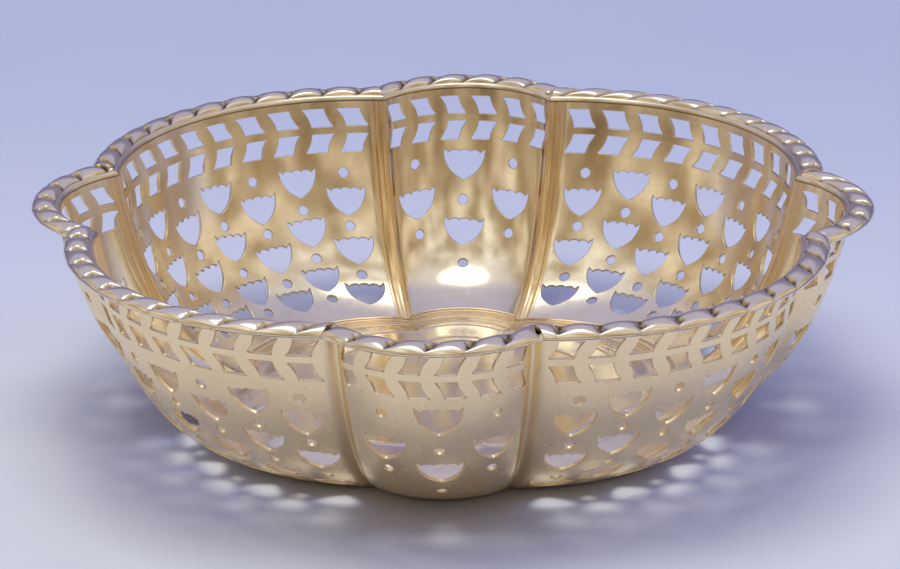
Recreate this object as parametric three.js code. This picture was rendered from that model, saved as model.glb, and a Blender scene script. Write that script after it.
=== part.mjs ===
// Lobed bonbon bowl in sterling silver: one pierced, pressed sheet with a rope border in eight lengths.
// Millimetres, +Z up. The bowl stands on z = 0 with its middle on the axis; the front lobe is at -Y.

import * as THREE from "three";
import { mergeVertices } from "three/addons/utils/BufferGeometryUtils.js";

// Plan: four small lobes on the axes and four large lobes between them
const overallDiameter = 140;
const ropeWidth = 4.0;
const cuspOut = 60.2;
const cuspSide = 16.1;
const largeLobeReach = 67.5;
const creaseHalfWidth = 1.3;
const creaseRib = { depth: 0.7, thickening: 0.6 };

// Side: the wall falls in one curve from under the rope nearly to the table
const ropeCentreHeight = 35.3;
const sheetThickness = 0.7;
const wallTop = { scale: 0.9736, height: 34.5 };
const wallUpperPull = { scale: 0.892, height: 8.2 };
const wallLowerPull = { scale: 0.725, height: 1.25 };
const wallFoot = { scale: 0.6, height: 0.6 };

// Base: a flat ring pressed down below the wall's foot is what the bowl stands on, and inside it a
// rounded step lifts the middle clear of the table
const ringOuterScale = 0.577;
const stepHeight = 1.3;
const stepOuterScale = 0.55;
const stepInnerScale = 0.48;
const stepRows = 3;

// Piercing, with depths measured down the sheet from its top edge
const chevronRows = [
  { depth: 2.85, height: 3.15, lean: -1.5 },
  { depth: 7.42, height: 3.25, lean: 1.5 },
];
const chevronsPerLobe = { small: 6, large: 10 };
const chevronBar = 2.35;
const chevronMargin = { small: 0.4, large: 1.8 };
const holeClearance = 0.35;
const heartBelly = 0.3;
const heartNotch = { out: 0.72, up: 0.4 };
const dotDiameter = 1.8;
const dotSides = 6;

// Hearts and dots hang in columns beside a lobe's middle one, number 0; even and odd columns alternate.
// Column places are shares of half the lobe; first and drop are depths down the sheet
const motifLayout = {
  small: {
    outermost: 1,
    columnStep: 0.55,
    shift: 0.05,
    heart: { width: 7.5, height: 5.5 },
    even: { hearts: { first: 13.6, drop: 12.5, count: 2 }, dots: { first: 20.1, drop: 12.2, count: 2 } },
    odd: { hearts: { first: 20.4, drop: 0, count: 1 }, dots: { first: 12.9, drop: 12.9, count: 2 } },
  },
  large: {
    outermost: 3,
    columnStep: 0.262,
    shift: 0.015,
    heart: { width: 6.9, height: 5.3 },
    even: { hearts: { first: 14.3, drop: 9.25, count: 3 }, dots: { first: 19.2, drop: 9.1, count: 3 } },
    odd: { hearts: { first: 18.0, drop: 9.5, count: 3 }, dots: { first: 12.7, drop: 9.9, count: 3 } },
  },
};

// Facets: the blank of a lobe reaches this far down, and these are its plain edges' points
const panelDepth = 41;
const sideDepths = [5.1, 9.9, 16.6, 23.6, 29.8, 36];
const footParts = { small: 5, large: 9 };
const fanHalfAngle = 0.3;
const smallestFacet = 1e-4;
const angleSlack = 1e-6;
const weldDistance = 1e-4;

// Border: a low twisted rope on a flat back, with a plain step along its inner side
const ropeCrown = 1.1;
const ropeTwistDepth = 0.62;
const ropePitch = 6.1;
const ropeStation = 1.55;
const ropeShoulder = 0.4;
const ropeTwistLead = 0.9;
const borderUnderside = -0.5;
const undersideReach = 0.7;
const outerEdgeDrop = 0.2;
const plainStep = { reach: 2.9, top: 0.45 };
const mitreGap = 0.3;

const silver = { color: 0xd9d2c6, roughness: 0.14, metalness: 1.0 };

const rimRadius = (overallDiameter - ropeWidth) / 2;
const quarterTurn = Math.PI / 2;

// A lobe is an arc through two cusps and its furthest point, turned about the axis of the bowl
function makeLobe(kind, turn, place) {
  const small = kind === "small";
  const reach = small ? rimRadius : largeLobeReach;
  const halfChord = small ? cuspSide : (cuspOut - cuspSide) / Math.SQRT2;
  const chordOut = small ? cuspOut : (cuspOut + cuspSide) / Math.SQRT2;
  const rise = reach - chordOut;
  const radius = (halfChord ** 2 + rise ** 2) / (2 * rise);
  const halfAngle = Math.asin(halfChord / radius);
  const halfArc = radius * halfAngle;
  return { kind, turn, place, radius, centre: reach - radius, halfAngle, halfArc };
}

const lobePlaces = [
  "right", "back_right", "back", "back_left", "left", "front_left", "front", "front_right",
];
const lobes = lobePlaces.map((place, i) => {
  const kind = i % 2 === 0 ? "small" : "large";
  return makeLobe(kind, (i / 2) * quarterTurn, place);
});

// Place on a lobe's arc, t from -1 to 1 counter-clockwise, with the outward direction there
function onLobe(lobe, t) {
  const axis = new THREE.Vector2();
  const angle = t * lobe.halfAngle;
  const normal = new THREE.Vector2(Math.cos(angle), Math.sin(angle)).rotateAround(axis, lobe.turn);
  const middle = new THREE.Vector2(lobe.centre, 0).rotateAround(axis, lobe.turn);
  return { point: middle.addScaledVector(normal, lobe.radius), normal };
}

const wallCurve = new THREE.CubicBezierCurve(
  new THREE.Vector2(wallTop.scale * rimRadius, wallTop.height),
  new THREE.Vector2(wallUpperPull.scale * rimRadius, wallUpperPull.height),
  new THREE.Vector2(wallLowerPull.scale * rimRadius, wallLowerPull.height),
  new THREE.Vector2(wallFoot.scale * rimRadius, wallFoot.height),
);
wallCurve.arcLengthDivisions = 400;
const wallLength = wallCurve.getLength();

// A level of the sheet: the plan's scale and the outer face's height, with the way that both change inwards
function wallLevel(depth) {
  const share = depth / wallLength;
  const place = wallCurve.getPointAt(share);
  const slope = wallCurve.getTangentAt(share);
  return {
    scale: place.x / rimRadius,
    height: place.y,
    scaleStep: slope.x / rimRadius,
    heightStep: slope.y,
  };
}

// The base carries on from the wall's foot: the standing ring, a rounded step and the flat middle
function baseLevels() {
  const levels = [
    wallLevel(wallLength),
    { scale: ringOuterScale, height: 0, scaleStep: -1, heightStep: 0 },
  ];
  for (let i = 0; i <= stepRows; i += 1) {
    const turn = (Math.PI * i) / stepRows;
    levels.push({
      scale: stepOuterScale + ((stepInnerScale - stepOuterScale) * i) / stepRows,
      height: stepHeight * (0.5 - 0.5 * Math.cos(turn)),
      scaleStep: (stepInnerScale - stepOuterScale) / Math.PI,
      heightStep: stepHeight * 0.5 * Math.sin(turn),
    });
  }
  return levels;
}

// A point of the sheet, sunk from the outer face by inset along the face's own normal
function sheetPoint(lobe, t, level, inset) {
  const { point, normal } = onLobe(lobe, t);
  const outward = new THREE.Vector3(
    -level.heightStep * normal.x,
    -level.heightStep * normal.y,
    level.scaleStep * point.dot(normal),
  ).normalize();
  return new THREE.Vector3(point.x * level.scale, point.y * level.scale, level.height)
    .addScaledVector(outward, -inset);
}

// Hole outlines as points about their middle, x along the lobe and y up the sheet
function chevronOutline(width, height, lean) {
  return [
    new THREE.Vector2(-(width + lean) / 2, height / 2),
    new THREE.Vector2(-(width - lean) / 2, -height / 2),
    new THREE.Vector2((width + lean) / 2, -height / 2),
    new THREE.Vector2((width - lean) / 2, height / 2),
  ];
}

function heartOutline({ width, height }) {
  const half = width / 2;
  const tip = -height / 2;
  const belly = tip + height * heartBelly;
  const shape = new THREE.Shape();
  shape.moveTo(0, tip);
  shape.quadraticCurveTo(half, belly, half, height / 2);
  shape.lineTo(half * heartNotch.out, height * heartNotch.up);
  shape.lineTo(-half * heartNotch.out, height * heartNotch.up);
  shape.lineTo(-half, height / 2);
  shape.quadraticCurveTo(-half, belly, 0, tip);
  return shape.getPoints(2).slice(1);
}

function dotOutline() {
  const circle = new THREE.EllipseCurve(0, 0, dotDiameter / 2, dotDiameter / 2);
  return circle.getPoints(dotSides).slice(1);
}

// Places of one kind of motif over a lobe as { t, depth }
function motifPlaces(layout, motif) {
  const places = [];
  for (let column = -layout.outermost; column <= layout.outermost; column += 1) {
    const { first, drop, count } = layout[column % 2 === 0 ? "even" : "odd"][motif];
    for (let row = 0; row < count; row += 1) {
      places.push({ t: layout.shift + column * layout.columnStep, depth: first + row * drop });
    }
  }
  return places;
}

// The flat blank of one lobe is a fan: its levels are arcs in true size about a middle below it
function flatPoint(lobe, { t, depth }) {
  const reach = (lobe.halfArc * wallTop.scale) / fanHalfAngle - depth;
  const turn = (t * lobe.halfArc * wallLevel(depth).scale) / reach;
  return new THREE.Vector2(reach * Math.sin(turn), reach * Math.cos(turn));
}

// Holes of a lobe as outlines of { t, depth }, held clear of the creases
function lobeHoles(lobe) {
  const holes = [];
  const limit = lobeEnd(lobe) - holeClearance / lobe.halfArc;
  const pierce = (outline, t, depth) => {
    holes.push(outline.map(({ x, y }) => {
      const across = t + x / (lobe.halfArc * wallLevel(depth - y).scale);
      return { t: THREE.MathUtils.clamp(across, -limit, limit), depth: depth - y };
    }));
  };
  for (const row of chevronRows) {
    const columns = chevronsPerLobe[lobe.kind];
    const reach = 1 - chevronMargin[lobe.kind] / lobe.halfArc;
    const pitch = (2 * reach * lobe.halfArc * wallLevel(row.depth).scale) / columns;
    const outline = chevronOutline(pitch - chevronBar, row.height, row.lean);
    for (let i = 0; i < columns; i += 1) {
      pierce(outline, reach * (-1 + (2 * i + 1) / columns), row.depth);
    }
  }
  const layout = motifLayout[lobe.kind];
  motifPlaces(layout, "hearts").forEach(({ t, depth }) => pierce(heartOutline(layout.heart), t, depth));
  motifPlaces(layout, "dots").forEach(({ t, depth }) => pierce(dotOutline(), t, depth));
  return holes;
}

// Each lobe stops short of its cusps, and the strips across the gaps make the rounded creases
function lobeEnd(lobe) {
  return 1 - creaseHalfWidth / lobe.halfArc;
}

function lobeSteps(lobe, parts) {
  return Array.from({ length: parts + 1 }, (_, i) => lobeEnd(lobe) * (-1 + (2 * i) / parts));
}

// Outline of the blank, counter-clockwise: foot edge, right side up, top edge and left side down
function blankOutline(lobe) {
  const end = lobeEnd(lobe);
  const foot = lobeSteps(lobe, footParts[lobe.kind]).map((t) => ({ t, depth: panelDepth }));
  const right = sideDepths.map((depth) => ({ t: end, depth })).reverse();
  const top = lobeSteps(lobe, chevronsPerLobe[lobe.kind]).map((t) => ({ t, depth: 0 })).reverse();
  const left = sideDepths.map((depth) => ({ t: -end, depth }));
  return { foot, right, top, left, all: [...foot, ...right, ...top, ...left] };
}

// Triangulates the pierced blank, then swaps diagonals until every triangle is as compact as it can be
function triangulateBlank(lobe) {
  const outline = blankOutline(lobe);
  const holes = lobeHoles(lobe);
  const flatten = (mark) => flatPoint(lobe, mark);
  const faces = THREE.ShapeUtils.triangulateShape(
    outline.all.map(flatten),
    holes.map((hole) => hole.map(flatten)),
  );
  const marks = [outline.all, ...holes].flat();
  const flat = marks.map(flatten);
  faces.forEach((face) => {
    if (signedArea(flat, ...face) < 0) face.reverse();
  });
  while (swapDiagonals(flat, faces) > 0);
  return { outline, holes, marks, faces };
}

function signedArea(flat, a, b, c) {
  const ab = flat[b].clone().sub(flat[a]);
  return ab.cross(flat[c].clone().sub(flat[a])) / 2;
}

function cornerAngle(flat, corner, a, b) {
  const toA = flat[a].clone().sub(flat[corner]);
  return toA.angleTo(flat[b].clone().sub(flat[corner]));
}

// One pass over the edges that two triangles share; returns how many were swapped
function swapDiagonals(flat, faces) {
  const owners = new Map();
  faces.forEach((face, f) => face.forEach((a, i) => {
    const b = face[(i + 1) % 3];
    owners.set(`${a} ${b}`, { f, apex: face[(i + 2) % 3], a, b });
  }));
  const touched = new Set();
  let swaps = 0;
  for (const { f, apex, a, b } of owners.values()) {
    const across = owners.get(`${b} ${a}`);
    if (a > b || !across || touched.has(f) || touched.has(across.f)) continue;
    const turned = cornerAngle(flat, apex, a, b) + cornerAngle(flat, across.apex, a, b);
    const smaller = Math.min(
      signedArea(flat, apex, a, across.apex),
      signedArea(flat, across.apex, b, apex),
    );
    if (turned < Math.PI + angleSlack || smaller < smallestFacet) continue;
    faces[f] = [apex, a, across.apex];
    faces[across.f] = [across.apex, b, apex];
    touched.add(f).add(across.f);
    swaps += 1;
  }
  return swaps;
}

// Collects facets, each a list of corners counter-clockwise from outside, as triangles of one solid
function facetList() {
  const positions = [];
  const facet = (corners) => {
    for (let i = 2; i < corners.length; i += 1) {
      [corners[0], corners[i - 1], corners[i]].forEach(({ x, y, z }) => positions.push(x, y, z));
    }
  };
  const geometry = () => {
    const result = new THREE.BufferGeometry();
    result.setAttribute("position", new THREE.Float32BufferAttribute(positions, 3));
    return mergeVertices(result, weldDistance);
  };
  return { facet, geometry };
}

// A facet of the sheet lies on the outer face and, turned over, on the inner one
function layBothFaces(list, cornersAt) {
  list.facet(cornersAt(0));
  list.facet(cornersAt(sheetThickness).reverse());
}

// A cut edge runs along a row of places, each a function of inset, with the metal on their left
function layCutEdge(list, places) {
  for (let i = 1; i < places.length; i += 1) {
    const [here, next] = [places[i - 1], places[i]];
    list.facet([next(0), here(0), here(sheetThickness), next(sheetThickness)]);
  }
}

// A column of the sheet is a function of level and inset, and strips hang between two columns
function lobeColumn(lobe, t) {
  return (level, inset) => sheetPoint(lobe, t, level, inset);
}

function layStrips(list, columns, levels) {
  for (let c = 1; c < columns.length; c += 1) {
    const [left, right] = [columns[c - 1], columns[c]];
    for (let r = 1; r < levels.length; r += 1) {
      const [upper, lower] = [levels[r - 1], levels[r]];
      layBothFaces(list, (inset) => [
        left(upper, inset), left(lower, inset), right(lower, inset), right(upper, inset),
      ]);
    }
  }
}

// Where two lobes meet the sheet is pressed inwards to a rib; it needs more inset to keep its thickness
function creaseCrest(lobe, neighbour) {
  const outward = onLobe(lobe, 1).normal.add(onLobe(neighbour, -1).normal).normalize();
  return (level, inset) => {
    const crest = sheetPoint(lobe, 1, level, inset).lerp(sheetPoint(neighbour, -1, level, inset), 0.5);
    const push = creaseRib.depth * level.scale + creaseRib.thickening * inset;
    return crest.add(new THREE.Vector3(outward.x, outward.y, 0).multiplyScalar(-push));
  };
}

function piercedSheet() {
  const blanks = { small: triangulateBlank(lobes[0]), large: triangulateBlank(lobes[1]) };
  const list = facetList();
  const rimLevel = wallLevel(0);
  const creaseLevels = [0, ...sideDepths, panelDepth].map(wallLevel);
  const lowLevels = [wallLevel(panelDepth), ...baseLevels()];
  const lastLevel = lowLevels[lowLevels.length - 1];

  lobes.forEach((lobe, i) => {
    const neighbour = lobes[(i + 1) % lobes.length];
    const { outline, holes, marks, faces } = blanks[lobe.kind];
    const placeOf = ({ t, depth }) => (inset) => sheetPoint(lobe, t, wallLevel(depth), inset);
    const places = marks.map(placeOf);
    faces.forEach((face) => layBothFaces(list, (inset) => face.map((m) => places[m](inset))));
    holes.forEach((hole) => layCutEdge(list, [hole[0], ...[...hole].reverse()].map(placeOf)));

    // The crease to the next lobe, all the way down, and the base under the lobe and its crease
    const columnsAt = (row) => [...row].sort((a, b) => a.t - b.t).map(({ t }) => lobeColumn(lobe, t));
    const crease = [creaseCrest(lobe, neighbour), lobeColumn(neighbour, -lobeEnd(neighbour))];
    layStrips(list, [lobeColumn(lobe, lobeEnd(lobe)), ...crease], creaseLevels);
    const baseColumns = [...columnsAt(outline.foot), ...crease];
    layStrips(list, baseColumns, lowLevels);
    baseColumns.slice(1).forEach((right, c) => layBothFaces(list, (inset) => [
      right(lastLevel, inset), baseColumns[c](lastLevel, inset), new THREE.Vector3(0, 0, stepHeight + inset),
    ]));
    const topColumns = [...columnsAt(outline.top), ...crease].reverse();
    layCutEdge(list, topColumns.map((column) => (inset) => column(rimLevel, inset)));
  });
  return list.geometry();
}

// One section of the border at a distance along its lobe, as (outward, up) from the rope's centre line
function borderSection(distance) {
  const phase = (2 * Math.PI * distance) / ropePitch;
  const half = ropeWidth / 2;
  const shoulder = (side) => {
    const round = ropeCrown * Math.sqrt(1 - ropeShoulder ** 2);
    const twist = ropeTwistDepth * (0.5 - 0.5 * Math.cos(phase - side * ropeTwistLead));
    return [side * ropeShoulder * half, round - twist];
  };
  return [
    [half, borderUnderside * outerEdgeDrop],
    shoulder(1),
    shoulder(-1),
    [-half, plainStep.top],
    [-plainStep.reach, plainStep.top],
    [-plainStep.reach, borderUnderside],
    [undersideReach * half, borderUnderside],
  ];
}

// Angle at which the border at a distance out from the rope's centre line meets the mitre with its neighbour
function mitreAngle(lobe, u) {
  const neighbour = lobes.find((other) => other.kind !== lobe.kind);
  const mitreNormal = (lobe.halfAngle + quarterTurn / 2 - neighbour.halfAngle) / 2 + quarterTurn;
  const reach = lobe.radius * Math.cos(lobe.halfAngle - mitreNormal) - mitreGap / 2;
  return mitreNormal - Math.acos(reach / (lobe.radius + u));
}

function borderGeometry(lobe) {
  const stations = Math.round((2 * lobe.halfArc) / ropeStation);
  const rings = [];
  for (let i = 0; i <= stations; i += 1) {
    const along = -1 + (2 * i) / stations;
    const section = borderSection(along * lobe.halfArc);
    rings.push(section.map(([u, up]) => {
      const angle = along * mitreAngle(lobe, u);
      const { point, normal } = onLobe(lobe, angle / lobe.halfAngle);
      return new THREE.Vector3(point.x + normal.x * u, point.y + normal.y * u, ropeCentreHeight + up);
    }));
  }
  return closedLoft(rings);
}

// Closes a row of equal rings into a solid with a fan at each end
function closedLoft(rings) {
  const list = facetList();
  for (let i = 1; i < rings.length; i += 1) {
    const [here, next] = [rings[i - 1], rings[i]];
    here.forEach((corner, j) => {
      const k = (j + 1) % here.length;
      list.facet([corner, next[j], next[k], here[k]]);
    });
  }
  list.facet(rings[0]);
  list.facet([...rings[rings.length - 1]].reverse());
  return list.geometry();
}

function silverMesh(name, geometry) {
  const mesh = new THREE.Mesh(geometry, new THREE.MeshStandardMaterial(silver));
  mesh.name = name;
  return mesh;
}

const bowl = new THREE.Group();
bowl.add(silverMesh("pierced_body", piercedSheet()));
lobes.forEach((lobe) => {
  bowl.add(silverMesh(`rope_border_${lobe.place}`, borderGeometry(lobe)));
});

export default bowl;
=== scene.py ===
import math
import bpy
import numpy as np
from mathutils import Matrix, Vector, geometry


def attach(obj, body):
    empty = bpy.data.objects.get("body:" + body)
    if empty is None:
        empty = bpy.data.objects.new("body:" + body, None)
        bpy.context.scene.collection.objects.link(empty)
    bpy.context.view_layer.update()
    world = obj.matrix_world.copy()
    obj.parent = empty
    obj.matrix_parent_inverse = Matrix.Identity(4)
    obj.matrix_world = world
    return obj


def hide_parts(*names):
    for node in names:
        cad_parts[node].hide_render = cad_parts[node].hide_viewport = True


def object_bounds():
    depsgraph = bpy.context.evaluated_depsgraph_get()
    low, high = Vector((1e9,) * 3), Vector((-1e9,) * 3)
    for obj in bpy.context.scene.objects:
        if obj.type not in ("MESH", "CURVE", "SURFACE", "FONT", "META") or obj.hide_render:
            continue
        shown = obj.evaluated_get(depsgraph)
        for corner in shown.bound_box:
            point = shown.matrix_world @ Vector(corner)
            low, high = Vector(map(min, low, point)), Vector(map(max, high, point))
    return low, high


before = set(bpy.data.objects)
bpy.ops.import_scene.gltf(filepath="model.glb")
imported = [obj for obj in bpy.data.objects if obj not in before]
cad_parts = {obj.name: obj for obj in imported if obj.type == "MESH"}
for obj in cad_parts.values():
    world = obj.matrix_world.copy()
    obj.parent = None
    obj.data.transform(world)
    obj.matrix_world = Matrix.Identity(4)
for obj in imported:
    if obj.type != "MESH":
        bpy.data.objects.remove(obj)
frameLow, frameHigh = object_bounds()
mm = 0.001
print("bonbon bowl: frame loaded")

# Plan and side of the bowl in millimetres: the curves that the solids follow
bowl = {
    "ropeWidth": 4.0,
    "largeReach": 67.5,       # axis to the middle of the rope over a large lobe
    "cuspOut": 60.2,          # where two lobes meet, seen from a small lobe
    "cuspSide": 16.1,
    "creaseRadius": 1.6,      # rounding in that corner at the rim
    "ribDepth": 1.2,          # the corner is pressed this much further in, as a rib
    "ribWidth": 1.15,
    "ropeHeight": 35.3,
    "sheet": 0.7,
    "wall": [(0.9736, 34.5), (0.892, 8.2), (0.725, 1.25), (0.600, 0.6)],    # share of the rim, height
    # The lower wall: slope where it turns straight, slope at its end, its length, length of the bend after it
    "footBend": (27.0, 22.6, 4.9, 1.0),
    "curvePoints": 2001, "curveStep": 0.02,    # how closely the wall's curve is followed
}
rimRadius = frameHigh.x / mm - bowl["ropeWidth"] / 2
smallCusp = np.array([bowl["cuspOut"], bowl["cuspSide"]])


def turned(points, angle):
    c, s = math.cos(angle), math.sin(angle)
    out = np.array(points, float)
    out[..., 0], out[..., 1] = (
        c * points[..., 0] - s * points[..., 1],
        s * points[..., 0] + c * points[..., 1],
    )
    return out


def unit(vectors):
    return vectors / np.maximum(np.linalg.norm(vectors, axis=-1, keepdims=True), 1e-9)


def makeLobe(kind):
    cusp, reach = smallCusp, rimRadius
    if kind == "large":   # the same corner, seen from the large lobe
        cusp, reach = turned(cusp, -math.pi / 4) * (1, -1), bowl["largeReach"]
    rise = reach - cusp[0]
    radius = (cusp[1] ** 2 + rise ** 2) / (2 * rise)
    halfAngle = math.asin(cusp[1] / radius)
    return {
        "kind": kind, "radius": radius, "centre": reach - radius,
        "halfAngle": halfAngle, "halfArc": radius * halfAngle,
    }


def roundTheCusp(small, large):
    # A circle that touches both lobes' arcs from outside rounds the corner between them
    rounding = bowl["creaseRadius"]
    a = np.array([small["centre"], 0.0])
    b = turned(np.array([large["centre"], 0.0]), math.pi / 4)
    reachA, reachB = small["radius"] + rounding, large["radius"] + rounding
    apart = np.linalg.norm(b - a)
    along = (b - a) / apart
    foot = (reachA ** 2 - reachB ** 2 + apart ** 2) / (2 * apart)
    off = math.sqrt(reachA ** 2 - foot ** 2)
    middles = [a + along * foot + side * off * np.array([-along[1], along[0]]) for side in (1, -1)]
    middle = min(middles, key=lambda m: np.linalg.norm(m - smallCusp))
    towardsA, towardsB = (middle - a) / reachA, (middle - b) / reachB
    half = towardsA + towardsB
    small["crease"] = middle
    small["joinAngle"] = math.atan2(towardsA[1], towardsA[0])
    small["middleAngle"] = math.atan2(half[1], half[0])
    large["crease"] = turned(middle, -math.pi / 4) * (1, -1)
    large["joinAngle"] = math.pi / 4 - math.atan2(towardsB[1], towardsB[0])
    large["middleAngle"] = math.pi / 4 - math.atan2(half[1], half[0])
    for lobe in (small, large):
        lobe["joinArc"] = lobe["radius"] * lobe["joinAngle"]
        lobe["creaseArc"] = rounding * (lobe["joinAngle"] - lobe["middleAngle"])


smallLobe, largeLobe = makeLobe("small"), makeLobe("large")
roundTheCusp(smallLobe, largeLobe)
lobePlaces = ["right", "back_right", "back", "back_left", "left", "front_left", "front", "front_right"]
lobes = [(place, (smallLobe, largeLobe)[i % 2], i * math.pi / 4) for i, place in enumerate(lobePlaces)]


def rimOutline(lobe, along):
    # Plan point and outward direction at a distance along the rim from the lobe's middle
    side = np.where(along < 0, -1.0, 1.0)
    away = np.abs(along)
    onArc = away <= lobe["joinArc"]
    radius, rounding = lobe["radius"], bowl["creaseRadius"]
    angle = np.where(onArc, away / radius, lobe["joinAngle"] - (away - lobe["joinArc"]) / rounding)
    nx, ny = np.cos(angle), np.sin(angle)
    px = np.where(onArc, lobe["centre"] + radius * nx, lobe["crease"][0] - rounding * nx)
    py = np.where(onArc, radius * ny, lobe["crease"][1] - rounding * ny)
    # The rib pushes the outline in, along the way that the corner faces
    fromCrest = away - lobe["joinArc"] - lobe["creaseArc"]
    push = bowl["ribDepth"] * np.exp(-(fromCrest / bowl["ribWidth"]) ** 2)
    steepness = push * 2 * fromCrest / bowl["ribWidth"] ** 2
    mx, my = math.cos(lobe["middleAngle"]), math.sin(lobe["middleAngle"])
    tx, ty = steepness * mx - ny, steepness * my + nx
    size = np.hypot(tx, ty)
    return px - push * mx, side * (py - push * my), ty / size, -side * tx / size


def bezier(p, t):
    q = 1 - t
    place = q**3 * p[0] + 3 * q * q * t * p[1] + 3 * q * t * t * p[2] + t**3 * p[3]
    slope = 3 * q * q * (p[1] - p[0]) + 6 * q * t * (p[2] - p[1]) + 3 * t * t * (p[3] - p[2])
    return place, slope


def drawWall():
    # The wall from rim to foot as close points and their slopes in degrees
    corners = [(share * rimRadius, height) for share, height in bowl["wall"]]
    t = np.linspace(0, 1, bowl["curvePoints"])
    (x, dx), (z, dz) = (bezier([p[k] for p in corners], t) for k in (0, 1))
    slopes = np.degrees(np.arctan2(-dz, -dx))
    fromSlope, toSlope, straight, bend = bowl["footBend"]
    last = np.argmax(slopes < fromSlope)
    step = bowl["curveStep"]
    along = np.arange(step, straight + bend + step, step)
    angle = np.interp(along, [0, straight, straight + bend], [slopes[last], toSlope, 0])
    foot = corners[3][0]
    xs = x[last] - np.cumsum(np.cos(np.radians(angle))) * step
    zs = z[last] - np.cumsum(np.sin(np.radians(angle))) * step
    flat = np.arange(xs[-1] - step, foot - step, -step)
    places = np.stack([
        np.concatenate([x[:last + 1], xs, flat]),
        np.concatenate([z[:last + 1], zs, np.full(len(flat), zs[-1])]),
    ], 1)
    return places, np.concatenate([slopes[:last + 1], angle, np.zeros(len(flat))])


curvePlaces, curveSlopes = drawWall()
curveLengths = np.concatenate([[0], np.cumsum(np.linalg.norm(np.diff(curvePlaces, axis=0), axis=1))])
wallLength = curveLengths[-1]
print("bonbon bowl: wall drawn, foot at", round(curvePlaces[-1, 1], 3), "mm, length", round(wallLength, 2))


def wallLevel(depth):
    # Share of the rim, height and their slopes at a depth down the sheet; it runs on straight past both ends
    depth = np.asarray(depth, float)
    over = depth - np.clip(depth, 0, wallLength)
    x, z = (np.interp(depth, curveLengths, curvePlaces[:, k]) for k in (0, 1))
    angle = np.radians(np.interp(depth, curveLengths, curveSlopes))
    dx, dz = -np.cos(angle), -np.sin(angle)
    return (x + over * dx) / rimRadius, z + over * dz, dx / rimRadius, dz


def sheetPoints(lobe, turn, along, level, sunk):
    # Points of the sheet below its outer face, and the outer face's direction there
    share, height, shareStep, heightStep = level
    px, py, nx, ny = rimOutline(lobe, along)
    facing = (-heightStep * nx, -heightStep * ny, shareStep * (px * nx + py * ny))
    normal = unit(np.stack(np.broadcast_arrays(*facing), -1))
    point = np.stack(np.broadcast_arrays(px * share, py * share, height), -1)
    point = point - np.asarray(sunk)[..., None] * normal
    return turned(point, turn), turned(normal, turn)


# Pierced pattern, in millimetres; depths run down the sheet from its top edge
piercing = {
    "chevronRows": [(2.85, 3.15, -1.5), (7.42, 3.25, 1.5)],    # depth, height, lean
    "chevrons": {"small": 6, "large": 10},
    "chevronBar": 2.35,        # metal between two chevrons
    "chevronMargin": {"small": 0.4, "large": 1.8},
    "creaseClear": 0.35,       # no hole comes nearer to a crease's rounding
    "leafBulge": 0.27,         # the bars swell like a leaf
    "belly": 0.4,              # how low a heart is widest, as a share of half its height
    "hornDrop": 0.75,          # notch inside each top corner of a heart
    "hornAt": 0.76,            # where the notch lies, as a share of half the heart's width
    "scallops": 3, "scallop": 0.42, "hump": 0.16,    # waves along a heart's top edge, and its rise in the middle
    "dot": 1.8,
    "outlineStep": 0.36, "sidePoints": 9, "heartPoints": (14, 31), "dotPoints": 16,    # how finely they are drawn
    "edgeRound": 0.15,         # broken edge round each hole
    "sizeError": (0.97, 1.03), "handError": (0.18, 0.05),    # how a hand-sawn hole varies in size, place and turn
    "seed": 7,
}

# Columns of hearts and dots beside a lobe's middle one, number 0: even columns have the first run, odd ones
# the second. Places are shares of half the lobe; a run is its first depth, the drop to the next and the count
motifLayout = {
    "small": {
        "outermost": 1, "columnStep": 0.55, "shift": 0.05, "heart": (7.5, 5.5),
        "hearts": [(13.6, 12.5, 2), (20.4, 0.0, 1)], "dots": [(20.1, 12.2, 2), (12.9, 12.9, 2)],
    },
    "large": {
        "outermost": 3, "columnStep": 0.262, "shift": 0.015, "heart": (6.9, 5.3),
        "hearts": [(14.3, 9.25, 3), (18.0, 9.5, 3)], "dots": [(19.2, 9.1, 3), (12.7, 9.9, 3)],
    },
}


def smoothClosed(points, step):
    # Even points along a closed outline, corners kept
    rows = []
    for a, b in zip(points, np.roll(points, -1, axis=0)):
        count = max(1, round(float(np.linalg.norm(b - a)) / step))
        rows.append(a + (b - a) * np.arange(count)[:, None] / count)
    return np.concatenate(rows)


def chevronOutline(width, height, lean):
    # A leaning lozenge whose two sides are hollow, because the bars between swell
    up = np.linspace(-0.5, 0.5, piercing["sidePoints"])
    swell = piercing["leafBulge"] * np.cos(np.pi * up)
    right = np.stack([(width - swell * 2) / 2 - lean * up, height * up], 1)
    left = np.stack([-(width - swell * 2) / 2 - lean * up, height * up], 1)[::-1]
    return smoothClosed(np.concatenate([right, left]), piercing["outlineStep"])


def heartOutline(width, height):
    p = piercing
    half, tall = width / 2, height / 2
    sidePoints, topPoints = p["heartPoints"]
    t = np.linspace(0, 1, sidePoints)[:, None]
    tip, belly, horn = np.array([[0, -tall], [half, -tall * p["belly"]], [half, tall]])
    side = (1 - t) ** 2 * tip + 2 * t * (1 - t) * belly + t * t * horn
    notch = half * p["hornAt"]
    x = np.linspace(notch, -notch, topPoints)
    waves = np.sqrt(np.abs(np.sin(np.pi * p["scallops"] / 2 * (x / notch + 1))))
    hump = p["hump"] * np.cos(np.pi * x / notch / 2)
    top = np.stack([x, tall - p["hornDrop"] + p["scallop"] * waves + hump], 1)
    return smoothClosed(np.concatenate([side, top, (side * (-1, 1))[::-1][:-1]]), p["outlineStep"])


def dotOutline():
    angle = np.linspace(0, 2 * np.pi, piercing["dotPoints"], endpoint=False)
    return piercing["dot"] / 2 * np.stack([np.cos(angle), np.sin(angle)], 1)


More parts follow.
